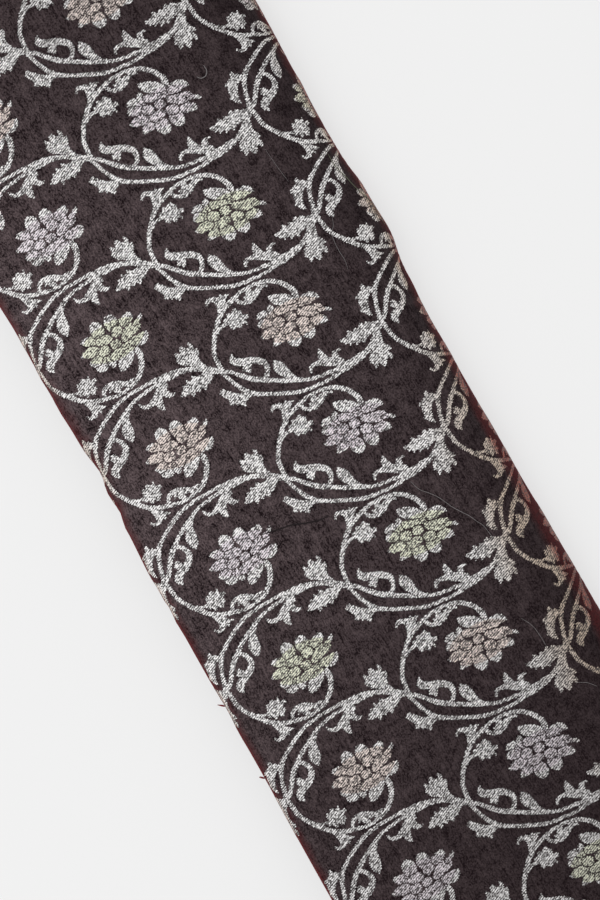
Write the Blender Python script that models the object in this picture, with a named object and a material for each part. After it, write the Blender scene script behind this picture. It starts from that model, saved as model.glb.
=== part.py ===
"""A folded brocade panel: one length of cloth, folded in half along its warp three times over.

Metres. +X runs across the panel towards its full edge, +Y along its folds and +Z up. The origin
is the middle of the underside. Layers are numbered from the surface up, 1 to 8. The cloth is
followed from one selvedge to the other in the order that the folds give its layers.
"""

import math
from collections import namedtuple

import bmesh
import bpy

# Sizes of the cloth and of its stack of layers
PANEL_LENGTH = 0.520
CLOTH_THICKNESS = 0.001
LAYER_PITCH = 0.0034

# Along the left edge the stack is pressed closer, and it eases up to its full height from there.
PRESSED_PITCH = 0.00315
PRESSED_SHARE = 0.22
CROWN_SHARE = 0.55

# Longest step between two sections of the mesh, along the folds
LONGEST_STEP = 0.0185

# The layers' cut ends don't quite meet: they slip by this much, near the ends only.
END_SLIP = 0.0013
END_SLIP_WAVES = 4.6
END_SLIP_POWER = 8

# The order in which the cloth passes through the layers, rightwards first
LAYER_ORDER = (1, 8, 5, 4, 3, 6, 7, 2)
TOP_LAYER = 8
SECOND_LAYER = 2

# Shares of a layer's own run at which the mesh has a step, from left to right
RUN_SHARES = (0.0, 0.10, 0.25, 1.0)
TOP_SHARES = (0.0, 0.06, 0.14, 0.26, 0.45, 0.62, 0.80, 1.0)

# Each fold, named by the lower and upper layer that it joins: how far in from the panel's edge it
# turns, the height at which it is widest, how far its quarters below and above that height reach,
# and the mesh's steps in each.
Fold = namedtuple("Fold", "set_back widest reach_below reach_above steps_below steps_above")
RIGHT_FOLDS = {
    (1, 8): Fold(0.0000, 0.0055, 0.0080, 0.0250, 4, 6),
    (2, 7): Fold(0.0032, 0.0078, 0.0064, 0.0205, 3, 4),
    (3, 6): Fold(0.0063, 0.0100, 0.0048, 0.0125, 3, 3),
    (4, 5): Fold(0.0112, 0.0120, 0.0020, 0.0030, 2, 3),
}
LEFT_FOLDS = {
    (5, 8): Fold(0.0000, 0.0172, 0.0045, 0.0060, 3, 4),
    (6, 7): Fold(0.0030, 0.0177, 0.0017, 0.0021, 2, 3),
    (3, 4): Fold(0.0018, 0.0083, 0.0017, 0.0021, 2, 3),
}

# The panel's uneven outline and surface, a row for each section along it. left and right are its
# two edges, crown is what the top layer rises towards the full edge, swell what its middle does,
# and the cloth's two selvedges end this far in from the left edge.
Section = namedtuple("Section", "along left right crown swell first_selvedge last_selvedge")
SECTIONS = (
    Section(-0.260, -0.0791, 0.0806, 0.0002, 0.0004, 0.0052, 0.0030),
    Section(-0.189, -0.0795, 0.0815, 0.0006, 0.0000, 0.0065, 0.0026),
    Section(-0.102, -0.0791, 0.0815, 0.0009, 0.0006, 0.0058, 0.0035),
    Section(-0.063, -0.0778, 0.0804, 0.0004, 0.0009, 0.0046, 0.0044),
    Section(-0.020, -0.0795, 0.0797, 0.0001, 0.0004, 0.0042, 0.0052),
    Section(0.011, -0.0778, 0.0795, 0.0002, 0.0001, 0.0050, 0.0046),
    Section(0.034, -0.0764, 0.0795, 0.0005, 0.0005, 0.0068, 0.0034),
    Section(0.048, -0.0774, 0.0802, 0.0008, 0.0009, 0.0072, 0.0030),
    Section(0.063, -0.0778, 0.0827, 0.0012, 0.0007, 0.0064, 0.0033),
    Section(0.080, -0.0783, 0.0819, 0.0011, 0.0002, 0.0054, 0.0042),
    Section(0.101, -0.0783, 0.0802, 0.0005, 0.0000, 0.0048, 0.0050),
    Section(0.128, -0.0795, 0.0797, 0.0002, 0.0005, 0.0046, 0.0046),
    Section(0.174, -0.0791, 0.0804, 0.0005, 0.0008, 0.0056, 0.0036),
    Section(0.260, -0.0787, 0.0802, 0.0000, 0.0002, 0.0066, 0.0028),
)

CLOTH_COLOUR = (0.032, 0.024, 0.026, 1.0)
CLOTH_ROUGHNESS = 0.72


def clear_scene():
    for thing in list(bpy.data.objects):
        bpy.data.objects.remove(thing, do_unlink=True)


def ease(share):
    """Goes from 0 to 1 with no slope at either end, and stays there outside them."""
    held = min(max(share, 0.0), 1.0)
    return held * held * (3.0 - 2.0 * held)


def between_sections(along):
    """The section at a place along the panel, on smooth curves through the table's rows."""
    last = len(SECTIONS) - 1
    low = 0
    while low < last - 1 and SECTIONS[low + 1].along <= along:
        low += 1
    before = SECTIONS[max(low - 1, 0)]
    start = SECTIONS[low]
    end = SECTIONS[low + 1]
    after = SECTIONS[min(low + 2, last)]
    span = end.along - start.along
    share = (along - start.along) / span
    columns = []
    for was, here, there, then in zip(before, start, end, after):
        start_slope = (there - was) / (end.along - before.along) * span
        end_slope = (then - here) / (after.along - start.along) * span
        cubic = 2.0 * (here - there) + start_slope + end_slope
        square = -3.0 * (here - there) - 2.0 * start_slope - end_slope
        columns.append(((cubic * share + square) * share + start_slope) * share + here)
    return Section(*columns)


def layer_height(section, layer, across):
    """The height of the middle of a layer's thickness."""
    share = (across - section.left) / (section.right - section.left)
    pitch = PRESSED_PITCH + (LAYER_PITCH - PRESSED_PITCH) * ease(share / PRESSED_SHARE)
    height = CLOTH_THICKNESS / 2.0 + (layer - 1) * pitch
    if layer == TOP_LAYER:
        height += section.swell * math.sin(math.pi * share) ** 2
        height += section.crown * ease((share - CROWN_SHARE) / (1.0 - CROWN_SHARE))
    return height


def fold_between(section, layer, other, rightwards):
    """The fold that joins two layers, its points (x, z) in the order that the cloth takes them."""
    lower = min(layer, other)
    upper = max(layer, other)
    folds = RIGHT_FOLDS if rightwards else LEFT_FOLDS
    fold = folds[lower, upper]
    inwards = -1.0 if rightwards else 1.0
    edge = section.right if rightwards else section.left
    widest_across = edge + inwards * (CLOTH_THICKNESS / 2.0 + fold.set_back)
    below = widest_across + inwards * fold.reach_below
    above = widest_across + inwards * fold.reach_above
    drop = fold.widest - layer_height(section, lower, below)
    rise = layer_height(section, upper, above) - fold.widest

    points = []
    for step in range(fold.steps_below):
        angle = math.pi / 2.0 * step / fold.steps_below
        across = below - inwards * fold.reach_below * math.sin(angle)
        points.append((across, fold.widest - drop * math.cos(angle)))
    for step in range(fold.steps_above + 1):
        angle = math.pi / 2.0 * step / fold.steps_above
        across = above - inwards * fold.reach_above * math.cos(angle)
        points.append((across, fold.widest + rise * math.sin(angle)))
    return points if layer == lower else points[::-1]


def cloth_path(section):
    """The middle of the cloth's thickness in one section, from selvedge to selvedge."""
    start = section.left + section.first_selvedge
    path = []
    for place, layer in enumerate(LAYER_ORDER):
        rightwards = place % 2 == 0
        if place + 1 < len(LAYER_ORDER):
            fold = fold_between(section, layer, LAYER_ORDER[place + 1], rightwards)
            end = fold[0][0]
        else:
            fold = []
            end = section.left + section.last_selvedge
        left, right = min(start, end), max(start, end)
        shares = TOP_SHARES if layer == TOP_LAYER else RUN_SHARES
        run = [left + (right - left) * share for share in shares]
        if not rightwards:
            run.reverse()
        if place:
            del run[0]
        if fold:
            del run[-1]
        path += [(across, layer_height(section, layer, across)) for across in run]
        path += fold
        start = path[-1][0]
    return path


def places_along():
    """Where the mesh has its sections: at each row of the table, and evenly between two rows."""
    places = [SECTIONS[0].along]
    for start, end in zip(SECTIONS, SECTIONS[1:]):
        span = end.along - start.along
        steps = math.ceil(span / LONGEST_STEP)
        places += [start.along + span * step / steps for step in range(1, steps + 1)]
    return places


def middle_across(paths):
    """Half way between the furthest that the two edges reach, where the origin goes."""
    across = [x for path in paths for x, _ in path]
    return (min(across) + max(across)) / 2.0


def end_slip(share_of_path, along):
    """How far the cloth has slipped along its folds there."""
    to_end = 2.0 * along / PANEL_LENGTH
    slipped = END_SLIP * math.sin(END_SLIP_WAVES * math.pi * share_of_path)
    return slipped * abs(to_end) ** END_SLIP_POWER


def cloth_material():
    material = bpy.data.materials.new("brocade")
    material.use_nodes = True
    shader = material.node_tree.nodes["Principled BSDF"]
    shader.inputs["Base Color"].default_value = CLOTH_COLOUR
    shader.inputs["Roughness"].default_value = CLOTH_ROUGHNESS
    shader.inputs["Metallic"].default_value = 0.0
    return material


def add_cloth():
    """One sheet, laid on the path of each section and given its thickness."""
    places = places_along()
    paths = [cloth_path(between_sections(place)) for place in places]
    middle = middle_across(paths)
    path_steps = len(paths[0]) - 1
    place_steps = len(places) - 1

    sheet = bmesh.new()
    bmesh.ops.create_grid(sheet, x_segments=path_steps, y_segments=place_steps, size=0.5)
    for vertex in sheet.verts:
        path_step = round((vertex.co.x + 0.5) * path_steps)
        place_step = round((vertex.co.y + 0.5) * place_steps)
        across, height = paths[place_step][path_step]
        along = places[place_step]
        slipped = end_slip(path_step / path_steps, along)
        vertex.co = (across - middle, along + slipped, height)
    bmesh.ops.reverse_faces(sheet, faces=sheet.faces)

    mesh = bpy.data.meshes.new("brocade_cloth")
    sheet.to_mesh(mesh)
    sheet.free()
    mesh.materials.append(cloth_material())
    mesh.shade_smooth()
    cloth = bpy.data.objects.new("brocade_cloth", mesh)
    bpy.context.scene.collection.objects.link(cloth)

    thickness = cloth.modifiers.new("thickness", "SOLIDIFY")
    thickness.thickness = CLOTH_THICKNESS
    thickness.offset = 0.0
    thickness.use_even_offset = True


clear_scene()
add_cloth()
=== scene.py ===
"""A folded brocade panel: its cloth and woven pattern, its loose threads, and a plain studio.

Metres. +X runs across the panel towards its full edge, +Y along its folds and +Z up. The cloth is
one sheet that follows the folds of the part's own solid. Its pattern is drawn on point paper, one
repeat of it, and each run of squares there is a stretch of pattern weft laid on the cloth. Places
on the cloth are given as it lies unfolded: across it, from the middle of the top layer rightwards,
and along its folds.
"""

import math
from collections import namedtuple

import bmesh
import bpy
import numpy as np
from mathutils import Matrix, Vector


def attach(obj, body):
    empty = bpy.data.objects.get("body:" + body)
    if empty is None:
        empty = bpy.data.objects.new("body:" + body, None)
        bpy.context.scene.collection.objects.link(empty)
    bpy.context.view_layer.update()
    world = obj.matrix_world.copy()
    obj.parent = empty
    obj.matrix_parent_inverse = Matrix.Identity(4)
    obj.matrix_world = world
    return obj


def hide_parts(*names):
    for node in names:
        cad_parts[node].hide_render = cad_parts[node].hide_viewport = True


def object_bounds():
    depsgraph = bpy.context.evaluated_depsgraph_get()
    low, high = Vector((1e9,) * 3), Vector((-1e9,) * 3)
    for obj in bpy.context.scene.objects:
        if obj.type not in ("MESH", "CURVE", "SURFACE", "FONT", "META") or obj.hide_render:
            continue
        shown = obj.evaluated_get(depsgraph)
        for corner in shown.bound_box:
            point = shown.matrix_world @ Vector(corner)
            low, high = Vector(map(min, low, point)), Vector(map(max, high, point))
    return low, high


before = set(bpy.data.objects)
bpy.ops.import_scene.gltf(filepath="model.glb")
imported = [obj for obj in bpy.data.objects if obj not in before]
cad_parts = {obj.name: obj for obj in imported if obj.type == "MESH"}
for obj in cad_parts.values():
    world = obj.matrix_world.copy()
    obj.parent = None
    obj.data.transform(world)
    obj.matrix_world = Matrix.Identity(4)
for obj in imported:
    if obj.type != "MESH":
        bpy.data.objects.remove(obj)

bl_info = {
    "name": "Folded Brocade Panel",
    "version": (1, 0, 0),
    "blender": (4, 5, 0),
    "location": "View3D > Sidebar > Brocade",
    "description": "Folds a length of brocade, weaves its pattern and sets the studio",
    "category": "Object",
}

CAD_CLOTH = "brocade_cloth"
BODY = "root"
CAD_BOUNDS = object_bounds()

# The stack of layers, as in the part's own source
PANEL_LENGTH = 0.520
SOLID_THICKNESS = 0.001
LAYER_PITCH = 0.0034
PRESSED_PITCH = 0.00315
PRESSED_SHARE = 0.22
CROWN_SHARE = 0.55
END_SLIP = 0.0013
END_SLIP_WAVES = 4.6
END_SLIP_POWER = 8
LAYER_ORDER = (1, 8, 5, 4, 3, 6, 7, 2)
TOP_LAYER = 8

# Each fold, named by the two layers that it joins: how far in from the panel's edge it turns, the
# height at which it is widest, and how far its quarters below and above that height reach.
Fold = namedtuple("Fold", "set_back widest reach_below reach_above")
RIGHT_FOLDS = {
    (1, 8): Fold(0.0000, 0.0055, 0.0080, 0.0250),
    (2, 7): Fold(0.0032, 0.0078, 0.0064, 0.0205),
    (3, 6): Fold(0.0063, 0.0100, 0.0048, 0.0125),
    (4, 5): Fold(0.0112, 0.0120, 0.0020, 0.0030),
}
LEFT_FOLDS = {
    (5, 8): Fold(0.0000, 0.0172, 0.0045, 0.0060),
    (6, 7): Fold(0.0030, 0.0177, 0.0017, 0.0021),
    (3, 4): Fold(0.0018, 0.0083, 0.0017, 0.0021),
}

# The panel's uneven outline and surface, a row for each section along it. left and right are its
# two edges, crown is what the top layer rises towards the full edge, swell what its middle does,
# and the cloth's two selvedges end this far in from the left edge.
Section = namedtuple("Section", "along left right crown swell first_selvedge last_selvedge")
SECTIONS = (
    Section(-0.260, -0.0791, 0.0806, 0.0002, 0.0004, 0.0052, 0.0030),
    Section(-0.189, -0.0795, 0.0815, 0.0006, 0.0000, 0.0065, 0.0026),
    Section(-0.102, -0.0791, 0.0815, 0.0009, 0.0006, 0.0058, 0.0035),
    Section(-0.063, -0.0778, 0.0804, 0.0004, 0.0009, 0.0046, 0.0044),
    Section(-0.020, -0.0795, 0.0797, 0.0001, 0.0004, 0.0042, 0.0052),
    Section(0.011, -0.0778, 0.0795, 0.0002, 0.0001, 0.0050, 0.0046),
    Section(0.034, -0.0764, 0.0795, 0.0005, 0.0005, 0.0068, 0.0034),
    Section(0.048, -0.0774, 0.0802, 0.0008, 0.0009, 0.0072, 0.0030),
    Section(0.063, -0.0778, 0.0827, 0.0012, 0.0007, 0.0064, 0.0033),
    Section(0.080, -0.0783, 0.0819, 0.0011, 0.0002, 0.0054, 0.0042),
    Section(0.101, -0.0783, 0.0802, 0.0005, 0.0000, 0.0048, 0.0050),
    Section(0.128, -0.0795, 0.0797, 0.0002, 0.0005, 0.0046, 0.0046),
    Section(0.174, -0.0791, 0.0804, 0.0005, 0.0008, 0.0056, 0.0036),
    Section(0.260, -0.0787, 0.0802, 0.0000, 0.0002, 0.0066, 0.0028),
)

# Small bumps of the two edges: how far outside its section each edge stands. The cloth follows
# them less and less inwards, over this reach.
Bump = namedtuple("Bump", "along left right")
BUMPS = [Bump(*row) for row in (
    (-0.260, 0.0006, 0.0000), (-0.168, 0.0006, -0.0006), (-0.138, 0.0005, -0.0006),
    (-0.117, 0.0003, -0.0006), (-0.100, 0.0005, -0.0007), (-0.092, 0.0009, -0.0007),
    (-0.083, 0.0008, -0.0006), (-0.075, 0.0013, -0.0004), (-0.066, 0.0018, -0.0005),
    (-0.054, 0.0016, -0.0005), (-0.045, 0.0011, -0.0003), (-0.037, 0.0009, -0.0002),
    (-0.032, 0.0000, -0.0002), (-0.028, 0.0003, -0.0002), (-0.020, 0.0001, -0.0004),
    (-0.016, 0.0005, -0.0003), (-0.003, 0.0006, -0.0003), (0.005, 0.0008, -0.0001),
    (0.009, 0.0010, -0.0002), (0.0135, 0.0001, -0.0002), (0.0175, 0.0004, -0.0004),
    (0.022, 0.0012, -0.0004), (0.026, 0.0014, -0.0003), (0.030, 0.0005, -0.0002),
    (0.034, 0.0003, 0.0000), (0.039, 0.0007, 0.0004), (0.043, 0.0010, 0.0002),
    (0.055, 0.0009, -0.0002), (0.064, 0.0012, -0.0001), (0.072, 0.0007, -0.0002),
    (0.081, 0.0008, 0.0002), (0.089, 0.0005, 0.0007), (0.097, 0.0006, 0.0002),
    (0.106, 0.0004, 0.0001), (0.127, 0.0004, 0.0003), (0.139, 0.0005, 0.0007),
    (0.144, 0.0004, 0.0004), (0.169, 0.0005, 0.0004), (0.260, 0.0003, 0.0000),
)]
BUMP_REACH = 0.007

# How finely a section is worked out, and how finely the sheet's own lines stand on it. The lines
# that show lie a fixed way across the cloth, so that the pattern can be cut along them.
FINE_QUARTER = 24
FINE_RUN = 40
LEFT_FOLD_STEP = 0.0009
TOP_STEP = 0.0040
RIGHT_FOLD_STEP = 0.0013
FLOOR_STEP = 0.0120
FOLD_MARGIN = 0.0025
SELVEDGE_BAND = 0.0040
HIDDEN_RUN_STEPS = 6
HIDDEN_FOLD_STEPS = 9
# A step longer than these is one of the top layer's, or of the layer's against the floor.
TOP_STEP_FROM = 0.9 * TOP_STEP
FLOOR_STEP_FROM = 2.0 * TOP_STEP

# The cloth lies a little bowed in its folds: this far across at each place along.
Bow = namedtuple("Bow", "along across")
BOWS = [Bow(*row) for row in (
    (-0.260, 0.0006), (-0.145, 0.0001), (-0.074, 0.0005), (-0.038, 0.0006), (-0.002, -0.0004),
    (0.034, -0.0011), (0.069, -0.0027), (0.105, -0.0039), (0.141, -0.0052), (0.176, -0.0066),
    (0.260, -0.0080),
)]

# Its picks are a little bowed too: this far along at each place across, less near the cut ends.
# Towards the full edge the cloth is drawn out by this much, between two places across.
PickBow = namedtuple("PickBow", "across along")
PICK_BOWS = [PickBow(*row) for row in (
    (-0.063, -0.0003), (-0.042, -0.0005), (-0.019, 0.0000), (0.004, 0.0001), (0.029, -0.0001),
    (0.052, -0.0008), (0.065, -0.0011),
)]
PICK_BOW_POWER = 8
DRAWN_OUT = 0.0015
DRAWN_FROM = 0.024
DRAWN_OVER = 0.045

# Soft troughs and ridges of the top layer, in panel places. turn is against +Y, in degrees, and
# a ridge has its depth below nought.
Crease = namedtuple("Crease", "across along turn half_length half_width depth")
CREASES = (
    Crease(-0.058, 0.030, -38.0, 0.022, 0.0050, 0.00045),
    Crease(-0.052, 0.044, -30.0, 0.020, 0.0060, -0.00035),
    Crease(0.060, 0.050, 42.0, 0.020, 0.0050, 0.00050),
    Crease(0.058, 0.068, 55.0, 0.024, 0.0070, -0.00045),
    Crease(-0.060, -0.058, 34.0, 0.024, 0.0060, 0.00040),
    Crease(0.052, -0.070, -25.0, 0.030, 0.0080, 0.00035),
    Crease(0.000, -0.010, 4.0, 0.110, 0.0120, 0.00025),
    Crease(-0.020, 0.150, -8.0, 0.080, 0.0140, -0.00030),
    Crease(0.020, -0.180, 10.0, 0.070, 0.0130, -0.00030),
)

# The creases fade out down the folds, from this share of the top layer's height over that share.
# The lines that show have none on the lowest share of them.
CREASES_FROM = 0.6
CREASES_OVER = 0.3
UNCREASED_SHARE = 0.25

# The ground reddens and the pattern weft warms near the two edges, as painted sheen and shade where
# the cloth turns over its folds, over bands that are this many times as wide as the materials give.
EdgeReach = namedtuple("EdgeReach", "along left right")
EDGE_REACHES = [EdgeReach(*row) for row in (
    (-0.260, 0.5, 1.30), (-0.129, 0.6, 1.20), (-0.066, 0.6, 1.00), (-0.008, 0.7, 0.75),
    (0.018, 1.1, 0.52), (0.060, 1.2, 0.38), (0.110, 0.8, 0.30), (0.260, 0.7, 0.30),
)]

# The point paper: the side of a square, and one repeat of the pattern in squares and in threads
SQUARE = 0.00042
REPEAT_ACROSS = 317.5
REPEAT_ALONG = 124.5
WARP_GROUPS = 476
PICK_GROUPS = 110
FIRST_FLOWER_ACROSS = -0.0426
FIRST_FLOWER_ALONG = -0.0781

# The repeat holds the spray twice. The second one is turned over and stands this far from the
# first, a little longer towards its crossing.
MIRROR_ACROSS = 163.5
MIRROR_ALONG = 56.0
LONGER_FROM = -47.0
LONGER_BY = 1.16
LOWER_FROM = 45.0
LOWER_OVER = 30.0
LOWER_BY = 5.0

# The kinds of square, and the line of ground that parts two petals
GROUND = 0
SILVER = 1
TINTED = 2
PETAL_GAP = 1.1
STROKE_STEP = 0.4

# The spray, on point paper: each shape is a smooth stroke through its rows, which give squares
# across and up from the flower's middle and the stroke's half width there. The later petals lie
# over the earlier ones.
PETALS = (
    ((-27.4, 14.4, 1.8), (-23.8, 12.8, 4.0), (-19.4, 11.4, 4.9), (-15.6, 9.8, 4.2)),
    ((-35.8, 1.9, 0.7), (-31.8, 2.0, 3.0), (-26.6, 1.8, 4.9), (-21.6, 1.6, 4.9),
     (-19.0, 1.5, 3.5)),
    ((-29.2, -9.2, 2.9), (-25.2, -9.5, 5.2), (-21.1, -9.2, 5.0)),
    ((-28.0, -16.4, 1.3), (-24.6, -18.0, 3.0), (-20.6, -17.6, 3.6), (-16.8, -15.0, 3.8),
     (-13.0, -12.0, 4.2)),
    ((-11.8, -20.6, 2.4), (-12.4, -17.0, 4.1), (-10.6, -13.2, 4.4)),
    ((-6.8, -13.6, 4.4), (-0.4, -12.6, 5.0), (5.6, -11.6, 4.6), (11.1, -10.4, 4.0)),
    ((-6.6, -29.0, 2.0), (-3.8, -25.8, 4.6), (1.0, -22.2, 6.0), (5.8, -19.4, 5.4),
     (10.8, -16.0, 3.0)),
    ((16.5, -9.6, 3.4), (22.0, -11.0, 5.4), (27.0, -11.0, 5.2), (30.6, -9.4, 3.2),
     (32.8, -7.2, 0.9)),
    ((11.2, -2.8, 3.4), (16.2, 0.2, 4.8), (20.8, 2.0, 5.5), (25.4, 2.6, 5.2),
     (28.4, 2.2, 3.6)),
    ((27.6, 5.2, 1.9), (31.6, 6.2, 2.0), (35.2, 8.0, 1.9), (37.4, 10.0, 0.9)),
    ((12.4, 10.6, 2.6), (16.2, 12.0, 4.1), (21.2, 13.0, 4.7), (25.8, 14.4, 4.2),
     (27.5, 16.4, 2.4)),
    ((-9.0, 14.4, 5.6), (-8.4, 17.4, 7.2), (-8.2, 20.8, 6.0), (-8.6, 24.6, 1.8)),
    ((7.0, 14.0, 5.4), (7.5, 16.8, 6.9), (7.7, 20.6, 5.6), (7.9, 24.0, 1.8)),
    ((-12.0, 6.4, 3.9), (-8.0, 6.0, 4.6), (-3.6, 5.6, 4.3)),
    ((6.6, 7.2, 4.8), (9.4, 8.2, 4.9)),
    ((-14.2, -3.6, 4.7), (-11.4, -3.4, 4.8)),
    ((-0.6, -2.9, 4.4), (1.4, -2.8, 4.5)),
)
LOOP = (
    (14.0, -11.0, 3.0), (16.0, -18.8, 2.9), (16.4, -23.8, 2.7), (14.3, -30.0, 2.5),
    (11.0, -35.6, 2.4), (6.8, -40.0, 2.3), (0.5, -44.4, 2.2), (-5.8, -46.9, 2.0),
    (-12.0, -48.3, 1.7), (-18.3, -49.0, 1.6), (-27.0, -48.7, 1.7), (-35.8, -46.6, 2.0),
    (-42.0, -44.9, 2.2), (-49.5, -42.3, 2.2), (-55.0, -38.8, 2.1), (-60.8, -34.2, 2.2),
    (-65.8, -28.1, 2.4), (-70.8, -21.9, 2.3), (-75.6, -14.4, 2.1), (-78.8, -7.5, 2.0),
    (-80.2, 0.0, 2.1), (-80.6, 6.6, 1.9), (-80.6, 9.4, 1.6),
)
OUTER_VINE = (
    (-81.6, 15.5, 1.7), (-79.7, 21.3, 1.9), (-78.3, 26.9, 1.9), (-76.0, 33.0, 1.9),
    (-73.9, 38.6, 2.2), (-71.0, 43.1, 2.4), (-67.6, 47.2, 2.2), (-62.0, 51.3, 1.9),
    (-55.8, 55.4, 1.9), (-48.9, 59.3, 1.9), (-42.0, 62.8, 2.0), (-35.8, 65.6, 2.0),
    (-29.5, 67.9, 1.9), (-22.0, 69.4, 1.8), (-12.0, 70.5, 1.7), (-4.5, 70.9, 1.8),
    (3.0, 70.9, 1.8), (11.0, 70.5, 1.9), (17.0, 69.6, 2.2),
)
INNER_VINE = (
    (-82.0, 13.4, 2.0), (-77.2, 15.0, 2.0), (-73.3, 19.4, 2.1), (-70.0, 23.8, 2.2),
    (-65.8, 29.4, 2.4), (-60.8, 34.8, 2.6), (-54.5, 40.0, 2.3), (-48.3, 44.4, 2.1),
    (-42.0, 48.5, 2.1), (-35.8, 51.9, 2.1), (-29.5, 54.8, 2.4), (-24.5, 57.3, 2.2),
    (-18.3, 60.6, 1.8), (-12.0, 62.6, 1.7), (-4.5, 63.9, 1.7), (3.0, 64.8, 1.8),
    (11.8, 65.4, 2.0), (17.0, 65.4, 2.6),
)
JOINED_VINE = (
    (15.0, 67.5, 3.6), (18.0, 67.1, 4.3), (24.3, 67.2, 4.3), (30.5, 66.5, 4.0),
    (36.8, 65.7, 3.6), (44.3, 64.1, 2.7), (50.5, 61.8, 2.3), (56.8, 58.6, 2.4),
    (61.8, 55.4, 3.0), (66.0, 51.8, 3.6), (70.5, 48.6, 3.4), (75.0, 46.0, 2.6),
    (78.0, 44.4, 2.0),
)
UNDER_VINE_SPRAY = (
    ((19.5, 61.0, 4.0), (14.0, 58.0, 4.4), (9.0, 55.2, 4.2), (4.0, 52.7, 3.5),
     (-2.0, 51.1, 2.2), (-7.0, 51.4, 1.9), (-10.2, 53.6, 1.5), (-11.2, 56.6, 0.8)),
    ((7.5, 53.0, 4.2), (6.4, 49.0, 4.0), (6.2, 45.0, 3.0), (7.2, 40.2, 0.9)),
    ((16.0, 57.0, 3.8), (17.4, 53.4, 3.2), (19.0, 50.4, 2.4), (22.0, 49.2, 1.5),
     (24.8, 49.2, 0.8)),
)
SAW_LEAF = (
    ((29.4, 42.8, 0.9), (32.5, 43.6, 2.4), (37.0, 44.8, 4.2), (43.0, 45.6, 5.6),
     (49.0, 46.0, 6.6), (55.0, 45.6, 6.6), (60.5, 46.4, 4.8), (67.0, 48.2, 2.8)),
    ((41.6, 41.6, 2.6), (40.6, 39.2, 1.7), (40.0, 37.2, 0.8)),
    ((47.6, 41.4, 2.8), (46.6, 38.8, 1.1)),
    ((54.6, 41.0, 2.8), (53.8, 38.6, 1.8), (53.4, 36.8, 0.8)),
    ((60.0, 43.0, 2.4), (59.2, 40.2, 0.9)),
    ((34.6, 45.6, 1.8), (32.2, 47.4, 0.7)),
    ((38.6, 47.4, 2.2), (36.0, 50.4, 0.8)),
    ((43.4, 50.0, 2.2), (41.4, 53.2, 0.8)),
    ((50.0, 51.0, 2.4), (48.4, 54.4, 0.8)),
)
PALMETTE = (
    ((63.8, 56.5, 2.4), (62.0, 61.5, 2.6), (59.4, 65.6, 4.4), (57.0, 70.2, 7.2),
     (55.8, 74.2, 7.8)),
    ((50.4, 71.4, 4.6), (47.0, 73.6, 3.0), (44.9, 75.8, 1.5)),
    ((51.0, 75.6, 3.6), (47.6, 79.0, 2.3), (46.2, 82.2, 1.1)),
    ((55.0, 76.4, 4.0), (54.6, 80.6, 3.7), (54.4, 83.6, 2.6)),
    ((59.8, 76.0, 3.4), (62.6, 79.6, 2.2), (63.9, 82.6, 1.6), (62.6, 85.0, 0.8)),
    ((61.4, 71.4, 4.2), (64.6, 73.8, 2.6), (66.6, 76.0, 1.1)),
)
FORKED_LEAF = (
    ((-72.5, 44.0, 2.2), (-77.0, 46.0, 3.8), (-81.5, 44.4, 4.8), (-85.5, 40.0, 4.6),
     (-87.6, 35.0, 4.0), (-88.6, 30.0, 3.2), (-88.4, 26.0, 2.2), (-86.6, 22.5, 0.8)),
    ((-79.5, 47.5, 3.2), (-79.8, 51.0, 2.0), (-79.6, 53.8, 0.9)),
    ((-84.5, 43.5, 3.2), (-88.6, 44.6, 2.0), (-90.4, 44.0, 1.0)),
    ((-88.0, 31.0, 2.6), (-91.6, 30.0, 1.6), (-93.2, 30.8, 0.8)),
)
TEARDROP = (
    ((-26.5, 54.5, 1.8), (-30.0, 51.0, 2.8), (-32.4, 46.5, 3.8), (-34.4, 41.5, 5.2),
     (-35.8, 37.0, 5.6), (-36.4, 33.0, 4.0), (-36.6, 30.4, 1.9), (-36.6, 28.4, 0.8)),
)
EYE_HOOK = (
    ((-53.5, 39.6, 2.2), (-49.2, 36.2, 2.1), (-46.6, 31.6, 2.3), (-46.0, 26.3, 2.7),
     (-49.4, 20.8, 3.2), (-54.8, 16.8, 3.4), (-61.5, 13.9, 3.6), (-66.4, 11.2, 4.0),
     (-68.4, 8.4, 3.4), (-67.6, 4.8, 1.8), (-67.0, 2.6, 0.8)),
    ((-58.0, 18.5, 2.4), (-60.8, 21.2, 3.4), (-61.4, 24.6, 1.9)),
    ((-62.6, 20.0, 2.2), (-65.0, 22.0, 0.9)),
)
BUD = (
    ((-67.0, -23.5, 1.2), (-62.0, -26.8, 1.3), (-55.0, -27.6, 1.6)),
    ((-49.0, -27.2, 7.0), (-46.6, -26.8, 7.2)),
    ((-53.0, -22.6, 2.4), (-52.4, -21.2, 2.4)),
    ((-47.6, -19.8, 2.4), (-46.8, -19.2, 2.3)),
    ((-42.4, -21.6, 2.2), (-42.0, -21.0, 2.2)),
    ((-42.0, -25.4, 1.7), (-38.0, -24.6, 2.4), (-36.9, -24.4, 2.2)),
    ((-41.6, -30.6, 2.4), (-40.8, -31.2, 2.3)),
    ((-44.6, -34.0, 2.2), (-43.8, -34.6, 2.2)),
    ((-50.4, -33.4, 2.0), (-50.8, -34.0, 2.0)),
    ((-55.0, -30.0, 1.8), (-55.8, -30.6, 1.7)),
    ((-40.8, -22.0, 0.9), (-40.2, -17.2, 0.6)),
)
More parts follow.
